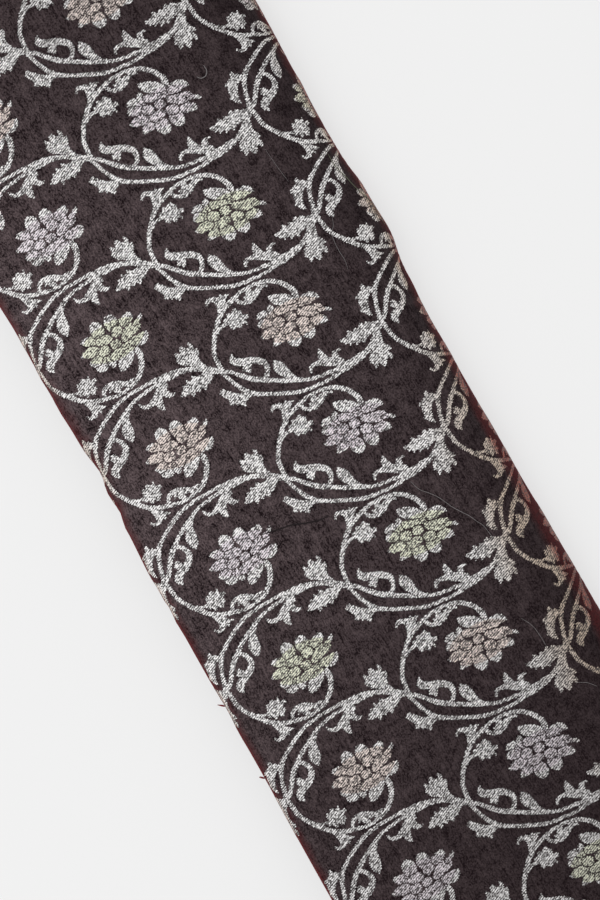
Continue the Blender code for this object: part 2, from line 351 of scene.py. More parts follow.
FLAME_LEAF = (
    ((87.5, 9.8, 2.0), (83.5, 10.6, 3.6), (78.5, 11.4, 5.0), (74.0, 14.2, 5.0),
     (70.6, 18.8, 4.2), (67.6, 23.0, 3.4), (66.2, 25.4, 2.6)),
    ((66.5, 25.0, 1.8), (68.4, 27.8, 0.8)),
    ((65.5, 24.5, 1.8), (63.4, 25.0, 0.9)),
    ((72.5, 13.5, 3.6), (69.0, 12.0, 2.4), (67.2, 11.0, 1.2)),
    ((78.0, 9.0, 3.6), (78.8, 5.4, 2.2), (79.2, 2.6, 0.9)),
    ((74.5, 10.5, 2.6), (72.6, 8.2, 1.0)),
)
LOOP_LEAF = (
    ((-36.6, -43.0, 1.7), (-34.4, -38.9, 2.0), (-29.7, -36.4, 2.1), (-24.2, -36.8, 2.8),
     (-20.0, -38.8, 3.7), (-14.4, -41.4, 3.0), (-9.0, -42.8, 1.9), (-3.4, -41.8, 1.2)),
    ((-24.0, -38.6, 3.2), (-22.8, -42.6, 3.2), (-20.8, -46.2, 2.4)),
    ((-10.0, -43.2, 1.8), (-11.4, -46.0, 0.9)),
    ((-27.2, -40.2, 1.4), (-29.0, -42.2, 0.8)),
)
FORKED_SPUR = (
    ((-57.5, -36.5, 2.0), (-54.5, -42.0, 3.0), (-51.5, -47.5, 4.6), (-52.5, -52.0, 3.6),
     (-56.0, -55.6, 2.1), (-60.0, -56.0, 1.7), (-62.8, -52.8, 0.8)),
    ((-51.0, -46.0, 3.5), (-47.8, -50.0, 2.6), (-43.8, -52.0, 1.5), (-41.2, -52.3, 0.7)),
    ((-50.5, -50.0, 3.0), (-48.5, -53.5, 1.4), (-47.5, -55.5, 0.6)),
)
GREENERY = (
    (LOOP, OUTER_VINE, INNER_VINE, JOINED_VINE)
    + UNDER_VINE_SPRAY + SAW_LEAF + PALMETTE + TEARDROP + EYE_HOOK + BUD + LOOP_LEAF
    + FORKED_SPUR
)
# Each of the two sprays has a leaf of its own where its vines cross, both in the repeat's squares.
CROSSING_LEAVES = FORKED_LEAF + FLAME_LEAF

# An oval of coloured weft covers the middle of each flower, drawn as one level stroke that ends
# at this share of the oval. Its colour changes from flower to flower, this share of a repeat
# before the next one's middle, and the first flower has the tint of this number.
TINT_MIDDLE = (0.6, 1.0)
TINT_HALF_LENGTH = 23.78
TINT_HALF_HEIGHT = 18.9
TINT_ROUNDING = 0.82
TINT_SAMPLES = 81
TINT_TURN_ALONG = 0.27
TINT_TURN_ACROSS = 0.25
TINTS = ("lilac", "yellow_green", "peach")
FIRST_TINT = 1

# Loose threads on the cloth, in the pattern's squares from the first flower's middle. Each row
# gives a place across and along, the half width there and how far the thread stands off.
Thread = namedtuple("Thread", "finish rows")
THREADS = (
    Thread("pale", (
        (181.8, 104.5, 0.20, 0.1), (185.8, 92.5, 0.28, 0.4), (190.8, 86.5, 0.28, 0.6),
        (196.3, 79.0, 0.28, 0.8), (200.3, 71.0, 0.28, 0.6), (203.8, 63.0, 0.30, 0.4),
        (209.8, 53.0, 0.30, 0.6), (214.8, 45.0, 0.28, 0.8), (217.8, 38.0, 0.28, 0.6),
        (221.3, 31.5, 0.26, 0.4), (222.8, 23.5, 0.24, 0.3), (223.8, 17.0, 0.22, 0.2),
        (224.8, 12.0, 0.16, 0.1),
    )),
    Thread("pale", (
        (219.8, 569.0, 0.30, 0.2), (219.3, 562.5, 0.44, 1.0), (215.8, 558.5, 0.46, 1.4),
        (210.8, 559.0, 0.42, 1.0), (207.8, 563.5, 0.26, 0.2),
    )),
    Thread("pale", (
        (248.8, 373.5, 0.16, 0.1), (245.3, 365.5, 0.22, 0.3), (240.3, 360.0, 0.22, 0.4),
        (238.4, 352.5, 0.22, 0.4), (237.3, 340.0, 0.24, 0.5), (237.4, 330.0, 0.22, 0.3),
        (235.3, 320.5, 0.14, 0.1),
    )),
    Thread("pale", (
        (210.3, -69.0, 0.16, 0.1), (213.8, -75.0, 0.22, 0.4), (216.8, -83.0, 0.24, 0.6),
        (217.8, -91.0, 0.24, 0.5), (218.3, -98.5, 0.22, 0.3), (218.3, -107.0, 0.14, 0.1),
    )),
    Thread("pale", (
        (227.8, 466.0, 0.12, 0.1), (228.8, 446.0, 0.20, 0.2), (230.6, 426.0, 0.12, 0.1),
    )),
    Thread("pale", (
        (226.3, -152.0, 0.14, 0.1), (234.8, -157.0, 0.22, 0.4), (242.3, -166.0, 0.14, 0.1),
    )),
    Thread("moss", (
        (282.8, 433.0, 0.20, 0.1), (281.8, 422.0, 0.34, 0.4), (283.3, 413.0, 0.36, 0.6),
        (286.3, 404.5, 0.36, 0.6), (288.8, 395.0, 0.36, 0.5), (292.8, 385.5, 0.36, 0.5),
        (299.0, 377.0, 0.36, 0.6), (303.0, 367.0, 0.34, 0.5), (304.0, 355.0, 0.32, 0.4),
        (303.3, 344.5, 0.20, 0.1),
    )),
    Thread("dark", (
        (28.0, 131.5, 0.20, 0.0), (36.0, 129.5, 0.50, 0.1), (45.3, 127.5, 0.60, 0.2),
        (57.8, 125.0, 0.60, 0.2), (70.3, 120.0, 0.60, 0.2), (85.3, 115.5, 0.50, 0.2),
        (95.3, 115.0, 0.25, 0.0),
    )),
    Thread("dark", ((-7.7, -42.5, 0.3, 0.1), (-7.9, -52.0, 0.5, 0.2), (-8.2, -62.0, 0.3, 0.1))),
    Thread("red", (
        (-94.0, -1.5, 0.60, 0.1), (-96.6, -0.2, 1.10, 0.6), (-98.0, 1.8, 0.95, 3.2),
        (-98.2, 3.4, 0.35, 5.8),
    )),
    Thread("red", (
        (-94.0, -84.5, 0.60, 0.1), (-96.6, -83.4, 1.10, 0.5), (-98.0, -82.0, 0.95, 2.4),
        (-98.2, -81.0, 0.35, 4.2),
    )),
)
THREAD_SIDES = 6
THREAD_STRIDE = 4
THREAD_WELD = 0.000002

# The floats of the weave: how wide and long one is, and how its rows slant
TWILL_SLANT = math.radians(22.8)
GROUND_WARP = {"Width": 0.00040, "Length": 0.00060, "Slant": math.radians(90.0)}
TWILL_LINE = {"Width": 0.000865, "Length": 0.0011, "Slant": TWILL_SLANT}
WEFT_THREAD = {"Width": 0.00043, "Length": 0.00070, "Slant": TWILL_SLANT}

# What a tone starts from, how much each part adds to it, and the sizes of its uneven patches
GROUND_TONE = {"start": 0.15, "Shade": 1.7, "Cloud": 3.0, "Streak": 2.2}
WEFT_TONE = {"start": -0.85, "Height": 0.95, "Shade": 1.36, "Cloud": 0.5}
THREAD_TONE = {"start": 0.25, "Cloud": 1.2}
RED_SHEEN_TONE = {"start": 0.4, "Shade": 0.7}
THREAD_SHADOW = (0.02, 0.015, 0.015)
GROUND_CLOUD = 0.0055
WEFT_CLOUD = 0.0020
THREAD_CLOUD = 0.0010
# Painted shade: how light the weft stays at the lower and upper cut ends
WEFT_END_SHADE = {"Lower": 0.60, "Upper": 0.68}

# A factor that changes evenly over the cloth: by which of its two places, from where to where,
# and what it is at each end.
Ramp = namedtuple("Ramp", "axis start end first last")
# Painted light: the ground is painted lighter towards the left fold and darker towards the full edge
GROUND_PAINTED_LIGHT = Ramp("X", -0.070, 0.080, 0.46, 0.20)
# Painted shade: the ground is painted darker on the full edge's slope
GROUND_SLOPE_SHADE = Ramp("X", 0.050, 0.085, 1.0, 0.6)
# Painted light: the weft is painted lighter towards the left fold
WEFT_PAINTED_LIGHT = Ramp("X", -0.070, 0.050, 1.10, 0.90)
# Painted shade and sheen: how much of the weft's wide tan band shows along the panel
TAN_SHADE_SPREAD = Ramp("Y", 0.030, -0.050, 0.30, 0.90)
# Painted shade: the cloth is painted darker towards both cut ends
LOWER_END_SHADE = Ramp("Y", 0.030, -0.220, 1.0, None)
UPPER_END_SHADE = Ramp("Y", 0.100, 0.260, 1.0, None)

# A band of colour along an edge, painted sheen and shade of the folds: the distance on the mesh that
# it goes by, how near it is full, how far off it ends, how ragged it is and how strong.
EDGE_DISTANCES = ("from_left", "from_right", "to_edge")
Band = namedtuple("Band", "measure near far ragged share")
RED_SHEEN_BANDS = (
    Band("from_left", 0.0004, 0.0060, 0.0020, 0.5),
    Band("from_right", 0.0026, 0.0085, 0.0012, 0.8),
    Band("to_edge", 0.0008, 0.0052, 0.0010, 0.65),
)
RIM_SHEEN_BANDS = (Band("to_edge", 0.0005, 0.0018, 0.0003, 1.0),)
TAN_SHADE_BANDS = (
    Band("from_right", 0.0075, 0.0170, 0.0014, 0.85),
    Band("from_left", 0.0010, 0.0050, 0.0006, 0.6),
)
WIDE_TAN_SHADE_BANDS = (Band("from_right", 0.0120, 0.0360, 0.0014, 1.0),)
SALMON_SHEEN_BANDS = (
    Band("from_right", 0.0042, 0.0085, 0.0008, 1.0),
    Band("to_edge", 0.0004, 0.0016, 0.0003, 0.7),
)

# The noises in the node groups, and the relief of the weave
CLOUD_NOISE = {"Scale": 1.0, "Detail": 3.0, "Roughness": 0.6}
STREAK_NOISE = {"Scale": 1.0, "Detail": 2.0, "Roughness": 0.7}
BAND_NOISE = {"Scale": 140.0, "Detail": 4.0, "Roughness": 0.7}
NOISE_MIDDLE = 0.5
STREAK_FINER = 5.0
BAND_NOISE_SPREAD = 4.0
RELIEF = {"Strength": 0.4, "Distance": 0.00005}

# The colour sockets of a Mix node, which shares their names with its other kinds
MIX_SHARE = 0
MIX_UNDER = 6
MIX_OVER = 7
MIX_RESULT = 2

# The studio
LAMP_SIDE = 1.6
LAMP_PLACE = Vector((-1.1, 0.7, 1.6))
LENS = 70.0
SENSOR_WIDTH = 36.0
CAMERA_PLACE = (0.0005, 0.0002)

PATTERN_PIECES = ("pattern_top_layer", "pattern_full_edge", "pattern_floor_layer")
CLOTH_PIECE = "folded_cloth"
THREAD_PIECE = "loose_threads"
FLOOR_PIECE = "studio_floor"


def number_setting(name, description, default, **limits):
    return bpy.props.FloatProperty(
        name=name, description=description, default=default, **limits
    )


def length_setting(name, description, default, **limits):
    return number_setting(name, description, default, unit="LENGTH", **limits)


def colour_setting(name, description, default):
    return bpy.props.FloatVectorProperty(
        name=name, description=description, default=default, subtype="COLOR"
    )


class ClothSettings(bpy.types.PropertyGroup):
    """The cloth and its ground weave"""

    thickness: length_setting(
        "Thickness", "Thickness of the cloth", 0.0007, min=0.0003, max=0.001, precision=5
    )
    step_along: length_setting(
        "Step along", "Longest step between two lines of the sheet, along the folds", 0.0036,
        min=0.002, precision=4,
    )
    dark_colour: colour_setting(
        "Dark float", "Colour of the ground's darkest floats", (0.006, 0.002, 0.003)
    )
    grey_colour: colour_setting(
        "Grey float", "Colour of the ground's lightest floats", (0.125, 0.092, 0.096)
    )
    # Painted sheen: the weave's red, painted where the ground turns over a fold
    red_sheen_colour: colour_setting(
        "Red float", "Colour of the ground where it turns over a fold", (0.075, 0.006, 0.007)
    )
    # Painted sheen at the very edge of a fold
    rim_sheen_colour: colour_setting(
        "Rim", "Colour of the ground at the very edge of a fold", (0.12, 0.008, 0.010)
    )


class PatternSettings(bpy.types.PropertyGroup):
    """The pattern weft and its colours"""

    rise: length_setting(
        "Rise", "How far the pattern weft stands above the ground", 0.00008,
        min=0.00002, max=0.0002, precision=5,
    )
    silver: colour_setting("Silver", "Colour of the weft's brightest floats", (0.96, 0.94, 0.93))
    lilac: colour_setting("Lilac", "First colour of the flowers' middles", (0.86, 0.79, 0.83))
    yellow_green: colour_setting(
        "Yellow green", "Second colour of the flowers' middles", (0.84, 0.85, 0.68)
    )
    peach: colour_setting("Peach", "Third colour of the flowers' middles", (0.88, 0.76, 0.70))
    # Painted shade and sheen of the weft on the full edge's slope
    tan: colour_setting("Tan", "Colour of the weft on the full edge's slope", (0.62, 0.48, 0.36))
    # Painted sheen of the weft at the edges
    salmon: colour_setting("Salmon", "Colour of the weft at the edges", (0.36, 0.10, 0.07))
    shadow: colour_setting("Shadow", "Colour between the weft's floats", (0.035, 0.028, 0.028))


class ThreadSettings(bpy.types.PropertyGroup):
    """The colours of the loose threads"""

    pale: colour_setting("Pale thread", "Colour of the fine pale fibres", (0.22, 0.205, 0.205))
    moss: colour_setting(
        "Moss thread", "Colour of the grey-green thread by the full edge", (0.13, 0.14, 0.09)
    )
    dark: colour_setting("Dark thread", "Colour of the dark threads", (0.010, 0.006, 0.007))
    red: colour_setting(
        "Red thread", "Colour of the ends that stand out of the tight fold", (0.20, 0.008, 0.010)
    )


class StudioSettings(bpy.types.PropertyGroup):
    """The floor, the light and the camera"""

    floor_side: length_setting("Floor", "Side of the square floor", 6.0)
    floor_colour: colour_setting("Floor colour", "Colour of the floor", (0.25, 0.25, 0.25))
    floor_glow: number_setting("Floor glow", "Strength of the light box under the floor", 0.625)
    room_light: number_setting("Room light", "Strength of the even light from all round", 0.80)
    lamp_power: number_setting("Lamp", "Power of the wide soft lamp, in watts", 14.0)
    camera_height: length_setting(
        "Camera height", "Height of the camera above the panel's top layer", 0.735
    )
    camera_turn: number_setting(
        "Camera turn", "How far the picture is turned against the panel", math.radians(-29.4),
        subtype="ANGLE",
    )


def ease(share):
    """Goes from 0 to 1 with no slope at either end, and stays there outside them."""
    held = np.clip(share, 0.0, 1.0)
    return held * held * (3.0 - 2.0 * held)


def between_rows(table, along):
    """The row of a table at a place along the panel, on smooth curves through its own rows."""
    last = len(table) - 1
    low = 0
    while low < last - 1 and table[low + 1].along <= along:
        low += 1
    before = table[max(low - 1, 0)]
    start = table[low]
    end = table[low + 1]
    after = table[min(low + 2, last)]
    span = end.along - start.along
    share = (along - start.along) / span
    columns = []
    for was, here, there, then in zip(before, start, end, after):
        start_slope = (there - was) / (end.along - before.along) * span
        end_slope = (then - here) / (after.along - start.along) * span
        cubic = 2.0 * (here - there) + start_slope + end_slope
        square = -3.0 * (here - there) - 2.0 * start_slope - end_slope
        columns.append(((cubic * share + square) * share + start_slope) * share + here)
    return type(start)(*columns)


def layer_height(section, layer, across):
    """The height of the middle of a layer's thickness."""
    share = (across - section.left) / (section.right - section.left)
    pitch = PRESSED_PITCH + (LAYER_PITCH - PRESSED_PITCH) * ease(share / PRESSED_SHARE)
    height = SOLID_THICKNESS / 2.0 + (layer - 1) * pitch
    if layer == TOP_LAYER:
        height = height + section.swell * np.sin(np.pi * share) ** 2
        height = height + section.crown * ease((share - CROWN_SHARE) / (1.0 - CROWN_SHARE))
    return height


def fold_between(section, layer, other, rightwards):
    """The fold that joins two layers, as points (x, z) in the order that the cloth takes them."""
    lower = min(layer, other)
    upper = max(layer, other)
    fold = RIGHT_FOLDS[lower, upper] if rightwards else LEFT_FOLDS[lower, upper]
    inwards = -1.0 if rightwards else 1.0
    edge = section.right if rightwards else section.left
    widest_across = edge + inwards * (SOLID_THICKNESS / 2.0 + fold.set_back)
    below = widest_across + inwards * fold.reach_below
    above = widest_across + inwards * fold.reach_above
    drop = fold.widest - layer_height(section, lower, below)
    rise = layer_height(section, upper, above) - fold.widest
    angle = np.linspace(0.0, np.pi / 2.0, FINE_QUARTER + 1)
    across = np.concatenate((
        below - inwards * fold.reach_below * np.sin(angle[:-1]),
        above - inwards * fold.reach_above * np.cos(angle),
    ))
    height = np.concatenate((
        fold.widest - drop * np.cos(angle[:-1]),
        fold.widest + rise * np.sin(angle),
    ))
    points = np.stack((across, height), axis=1)
    return points if layer == lower else points[::-1]


def folded_path(section):
    """The middle of the cloth in one section, and the points at which its folds start and end."""
    start = section.left + section.first_selvedge
    stretches = []
    marks = [0]
    count = 0
    for place, layer in enumerate(LAYER_ORDER):
        rightwards = place % 2 == 0
        if place + 1 < len(LAYER_ORDER):
            fold = fold_between(section, layer, LAYER_ORDER[place + 1], rightwards)
            end = fold[0][0]
        else:
            fold = np.empty((0, 2))
            end = section.left + section.last_selvedge
        run = np.linspace(start, end, FINE_RUN + 1)[min(place, 1):]
        if len(fold):
            run = run[:-1]
        stretches.append(np.stack((run, layer_height(section, layer, run)), axis=1))
        stretches.append(fold)
        count += len(run)
        marks.append(count if len(fold) else count - 1)
        count += len(fold)
        if len(fold):
            marks.append(count - 1)
            start = fold[-1][0]
    return np.concatenate(stretches), marks


# One section, unfolded: the points of its path, how far across the cloth each is, and the same
# for the ends of its folds. Across the cloth runs against the path, from the top layer's middle.
# The first five marks are the selvedge, the ends of the full edge's fold and of the left fold.
Unfolded = namedtuple("Unfolded", "points cloth_across marks")


def unfold(along, middle_across):
    section = between_rows(SECTIONS, along)
    bump = between_rows(BUMPS, along)
    points, marks = folded_path(section)
    from_left = points[:, 0] - section.left
    from_right = section.right - points[:, 0]
    points[:, 0] -= middle_across + bump.left * np.exp(-((from_left / BUMP_REACH) ** 2))
    points[:, 0] += bump.right * np.exp(-((from_right / BUMP_REACH) ** 2))
    lengths = np.hypot(*np.diff(points, axis=0).T)
    travelled = np.concatenate(((0.0,), np.cumsum(lengths)))
    bow = between_rows(BOWS, along).across
    top = slice(marks[2], marks[3] + 1)
    middle = np.interp(-bow, -points[top, 0], travelled[top])
    cloth_across = middle - travelled
    cloth_across -= DRAWN_OUT * ease((cloth_across - DRAWN_FROM) / DRAWN_OVER)
    return Unfolded(points, cloth_across, cloth_across[marks])


def spaced(start, end, step):
    """Even places from start up to end, without end itself."""
    count = math.ceil((end - start) / step)
    return np.linspace(start, end, count + 1)[:-1]


def places_along(step):
    """Where the sheet has its lines across: at each row of the sections, and evenly between."""
    rows = [section.along for section in SECTIONS]
    places = [spaced(start, end, step) for start, end in zip(rows, rows[1:])]
    return np.concatenate(places + [rows[-1:]])


def lines_that_show(unfolded):
    """How far across the cloth its lines along stand, from inside the left fold to the floor."""
    across = np.array([flat.marks for flat in unfolded])
    left_start = across[:, 4].min() - FOLD_MARGIN
    left_end = across[:, 3].max() + FOLD_MARGIN
    right_start = across[:, 2].min() - FOLD_MARGIN
    right_end = across[:, 1].max() + FOLD_MARGIN
    floor_end = across[:, 0].min() - SELVEDGE_BAND
    return np.concatenate((
        spaced(left_start, left_end, LEFT_FOLD_STEP),
        spaced(left_end, right_start, TOP_STEP),
        spaced(right_start, right_end, RIGHT_FOLD_STEP),
        spaced(right_end, floor_end, FLOOR_STEP),
        (floor_end,),
    ))


def lines_across(flat, shown):
    """How far across the cloth each of the sheet's lines stands, from selvedge to selvedge."""
    hidden = [shown[0]]
    for place, mark in enumerate(flat.marks[5:]):
        steps = HIDDEN_FOLD_STEPS if place % 2 else HIDDEN_RUN_STEPS
        hidden += list(np.linspace(hidden[-1], mark, steps + 1)[1:])
    return np.concatenate((flat.marks[:1], shown[::-1], hidden[1:]))


def crease_depth(across, along):
    """How far the creases lower the top layer at each place of the panel."""
    depth = np.zeros_like(across)
    for crease in CREASES:
        turn = math.radians(crease.turn)
        right = across - crease.across
        up = along - crease.along
        beside = right * math.cos(turn) + up * math.sin(turn)
        lengthwise = up * math.cos(turn) - right * math.sin(turn)
        fade = (beside / crease.half_width) ** 2 + (lengthwise / crease.half_length) ** 2
        depth += crease.depth * np.exp(-fade)
    return depth


# The whole sheet on its own lines. places are along the panel and shown are the lines across the
# cloth that show. The rest have a row for each place and a column for each line. to_edge is the
# plan distance to the nearer of the panel's edges, and from_left and from_right are those from
# each, less where its coloured band is wider.
Surface = namedtuple("Surface", "places shown points normals across from_left from_right to_edge")


def cloth_surface(step_along):
    """The middle of the cloth's thickness, on its folds, with its creases."""
    places = places_along(step_along)
    edges = np.array([between_rows(SECTIONS, place)[1:3] for place in places])
    middle_across = (edges[:, 0].min() + edges[:, 1].max()) / 2.0
    unfolded = [unfold(place, middle_across) for place in places]
    shown = lines_that_show(unfolded)
    rows = []
    across_rows = []
    for place, flat in zip(places, unfolded):
        lines = lines_across(flat, shown)
        across = np.interp(-lines, -flat.cloth_across, flat.points[:, 0])
        height = np.interp(-lines, -flat.cloth_across, flat.points[:, 1])
        to_end = abs(2.0 * place / PANEL_LENGTH)
        share = (lines - lines[0]) / (lines[-1] - lines[0])
        slip = np.sin(END_SLIP_WAVES * np.pi * share)
        along = place + END_SLIP * slip * to_end ** END_SLIP_POWER
        rows.append(np.stack((across, along, height), axis=1))
        across_rows.append(lines)
    points = np.array(rows)
    top = slice(1 + int(len(shown) * UNCREASED_SHARE), 1 + len(shown))
    points[:, top, 2] -= top_share(points[:, top]) * crease_depth(
        points[:, top, 0], points[:, top, 1]
    )
    along_step = np.gradient(points, axis=0)
    across_step = np.gradient(points, axis=1)
    normals = np.cross(along_step, across_step)
    normals /= np.linalg.norm(normals, axis=2, keepdims=True)
    bumps = np.array([between_rows(BUMPS, place)[1:3] for place in places])
    left = (edges[:, 0] - bumps[:, 0] - middle_across)[:, None]
    right = (edges[:, 1] + bumps[:, 1] - middle_across)[:, None]
    reaches = np.array([between_rows(EDGE_REACHES, place)[1:3] for place in places])
    from_left = points[:, :, 0] - left
    from_right = right - points[:, :, 0]
    to_edge = np.minimum(from_left, from_right)
    from_left = from_left / reaches[:, :1]
    from_right = from_right / reaches[:, 1:]
    across = np.array(across_rows)
    return Surface(places, shown, points, normals, across, from_left, from_right, to_edge)


def top_share(points):
    """1 where a point is in the plane of the top layer, easing to 0 well above the floor."""
    top = SOLID_THICKNESS / 2.0 + (TOP_LAYER - 1) * LAYER_PITCH
    return ease((points[:, :, 2] - top * CREASES_FROM) / (top * CREASES_OVER))


def smooth_stroke(rows):
    """Close samples of a stroke, on smooth curves through its rows."""
    table = np.array(rows)
    steps = np.hypot(*np.diff(table[:, :2], axis=0).T)
    place = np.concatenate(((0.0,), np.cumsum(steps)))
    slope = np.gradient(table, place, axis=0) if len(table) > 2 else np.diff(table, axis=0) / steps
    slope = np.broadcast_to(slope, table.shape)
    at = np.linspace(0.0, place[-1], max(2, math.ceil(place[-1] / STROKE_STEP)))
    low = np.clip(np.searchsorted(place, at, side="right") - 1, 0, len(table) - 2)
    span = (place[low + 1] - place[low])[:, None]
    share = ((at - place[low])[:, None]) / span
    start = table[low]
    end = table[low + 1]
    cubic = 2.0 * (start - end) + (slope[low] + slope[low + 1]) * span
    square = 3.0 * (end - start) - (2.0 * slope[low] + slope[low + 1]) * span
    return ((cubic * share + square) * share + slope[low] * span) * share + start


def first_spray(stroke):
    return stroke


def mirrored_spray(stroke):
    """The same stroke in the turned-over spray, in squares from the first flower's middle."""
    placed = stroke.copy()
    across = stroke[:, 0]
    longer = np.minimum(across - LONGER_FROM, 0.0) * (LONGER_BY - 1.0)
    lower = LOWER_BY * ease((across - LOWER_FROM) / LOWER_OVER)
    placed[:, 0] = MIRROR_ACROSS + across + longer
    placed[:, 1] = MIRROR_ALONG - stroke[:, 1] + lower
    return placed


def paint(chart, stroke, kind, wider=0.0):
    """Fills the squares whose middles a stroke covers. The repeat runs on past each of its sides."""
    picks, warps = chart.shape
    wide = REPEAT_ACROSS / warps
    high = REPEAT_ALONG / picks
    for across, up, half_width in stroke:
        reach = half_width + wider
        first_warp = math.floor((across - reach) / wide)
        last_warp = math.ceil((across + reach) / wide)
        first_pick = math.floor((up - reach) / high)
        last_pick = math.ceil((up + reach) / high)
        warp = np.arange(first_warp, last_warp + 1)
        pick = np.arange(first_pick, last_pick + 1)
        to_warp = (warp + 0.5) * wide - across
        to_pick = (pick + 0.5) * high - up
        inside = to_warp[None, :] ** 2 + to_pick[:, None] ** 2 <= reach * reach
        rows, columns = np.nonzero(inside)
        chart[pick[rows] % picks, warp[columns] % warps] = kind


def draw_chart():
    """One repeat of the pattern, a kind of weft for each square, from the first flower's middle."""
    chart = np.full((PICK_GROUPS, WARP_GROUPS), GROUND, dtype=int)
    tints = np.full_like(chart, GROUND)
    for place in (first_spray, mirrored_spray):
        for rows in GREENERY:
            paint(chart, place(smooth_stroke(rows)), SILVER)
    for rows in CROSSING_LEAVES:
        paint(chart, smooth_stroke(rows), SILVER)
    for place in (first_spray, mirrored_spray):
        for rows in PETALS:
            stroke = place(smooth_stroke(rows))
            paint(chart, stroke, GROUND, PETAL_GAP)
            paint(chart, stroke, SILVER)
        paint(tints, place(tint_oval()), TINTED)
    chart[(chart == SILVER) & (tints == TINTED)] = TINTED
    # The binding sets every other pick's floats off by a warp group.
    chart[1::2] = np.roll(chart[1::2], 1, axis=1)
    return chart


def tint_oval():
    """The coloured oval as one level stroke through the flower's middle."""
    share = np.linspace(-1.0, 1.0, TINT_SAMPLES)
    across = TINT_MIDDLE[0] + TINT_HALF_LENGTH * share
    half_width = TINT_HALF_HEIGHT * np.sqrt(1.0 - (TINT_ROUNDING * share) ** 2)
    return np.stack((across, np.full_like(share, TINT_MIDDLE[1]), half_width), axis=1)


def weft_runs(chart, kind):
    """One repeat's squares of a kind on a flat mesh, with each run along a pick made one face."""
    picks, warps = chart.shape
    runs = bmesh.new()
    bmesh.ops.create_grid(runs, x_segments=warps, y_segments=picks, size=0.5)
    others = []
    for face in runs.faces:
        middle = face.calc_center_median()
        pick = int((middle.y + 0.5) * picks)
        warp = int((middle.x + 0.5) * warps)
        if chart[pick, warp] != kind:
            others.append(face)
    bmesh.ops.delete(runs, geom=others, context="FACES")
    half_square = 0.5 / picks
    level = [
        edge for edge in runs.edges
        if len(edge.link_faces) == 2
        and abs(edge.verts[0].co.y - edge.verts[1].co.y) < half_square
    ]
    bmesh.ops.split_edges(runs, edges=level)
    inner = [edge for edge in runs.edges if len(edge.link_faces) == 2]
    bmesh.ops.dissolve_edges(runs, edges=inner, use_verts=True)
    corner = Vector((0.5, 0.5, 0.0))
    bmesh.ops.translate(runs, verts=runs.verts, vec=corner)
    size = Vector((REPEAT_ACROSS * SQUARE, REPEAT_ALONG * SQUARE, 1.0))
    bmesh.ops.scale(runs, verts=runs.verts, vec=size)
    return runs


def all_of(mesh):
    return list(mesh.verts) + list(mesh.edges) + list(mesh.faces)


def repeat(mesh, step, count):
    """Copies a mesh again and again, each a step further on."""
    first = all_of(mesh)
    for turn in range(1, count):
        copied = bmesh.ops.duplicate(mesh, geom=first)["geom"]
        verts = [part for part in copied if isinstance(part, bmesh.types.BMVert)]
        bmesh.ops.translate(mesh, verts=verts, vec=step * turn)


def cut_off(mesh, place, outwards):
    """Cuts away what lies past a place, on the side that outwards points to."""
    bmesh.ops.bisect_plane(
        mesh, geom=all_of(mesh), plane_co=place, plane_no=outwards, clear_outer=True
    )


def runs_between(chart, kind, lines):
    """The runs of weft between the first and the last line, cut along each, the panel's length."""
    runs = weft_runs(chart, kind)
    wide = REPEAT_ACROSS * SQUARE
    high = REPEAT_ALONG * SQUARE
    first = math.floor((lines[0] - FIRST_FLOWER_ACROSS) / wide)
    last = math.ceil((lines[-1] - FIRST_FLOWER_ACROSS) / wide)
    start = Vector((FIRST_FLOWER_ACROSS + first * wide, 0.0, 0.0))
    bmesh.ops.translate(runs, verts=runs.verts, vec=start)
    repeat(runs, Vector((wide, 0.0, 0.0)), last - first)
    cut_off(runs, (lines[0], 0.0, 0.0), (-1.0, 0.0, 0.0))
    cut_off(runs, (lines[-1], 0.0, 0.0), (1.0, 0.0, 0.0))
    for line in lines[1:-1]:
        bmesh.ops.bisect_plane(
            runs, geom=all_of(runs), plane_co=(line, 0.0, 0.0), plane_no=(1.0, 0.0, 0.0)
        )
    end = PANEL_LENGTH / 2.0
    first = math.floor((-end - FIRST_FLOWER_ALONG) / high)
    last = math.ceil((end - FIRST_FLOWER_ALONG) / high)
    start = Vector((0.0, FIRST_FLOWER_ALONG + first * high, 0.0))
    bmesh.ops.translate(runs, verts=runs.verts, vec=start)
    repeat(runs, Vector((0.0, high, 0.0)), last - first)
    cut_off(runs, (0.0, -end, 0.0), (0.0, -1.0, 0.0))
    cut_off(runs, (0.0, end, 0.0), (0.0, 1.0, 0.0))
    return runs


def on_surface(surface, across, along, rise):
    """Points that lie on the shown cloth, this far above the middle of its thickness."""
    column = np.clip(np.searchsorted(surface.shown, across) - 1, 0, len(surface.shown) - 2)
    row = np.clip(np.searchsorted(surface.places, along) - 1, 0, len(surface.places) - 2)
    low = surface.shown[column]
    high = surface.shown[column + 1]
    beside = (across - low) / (high - low)
    low = surface.places[row]
    high = surface.places[row + 1]
    above = (along - low) / (high - low)
    # The sheet's columns run the other way, and its first is the selvedge.
    column = len(surface.shown) - column
    corners = (
        (row, column, (1.0 - beside) * (1.0 - above)),
        (row, column - 1, beside * (1.0 - above)),
        (row + 1, column, (1.0 - beside) * above),
        (row + 1, column - 1, beside * above),
    )

    def blend(values):
        return sum(
            values[rows, columns] * (weight if values.ndim == 2 else weight[:, None])
            for rows, columns, weight in corners
        )

    normals = blend(surface.normals)
    normals /= np.linalg.norm(normals, axis=1, keepdims=True)
    points = blend(surface.points) + normals * rise
    distances = {name: blend(getattr(surface, name)) for name in EDGE_DISTANCES}
    return points, normals, distances


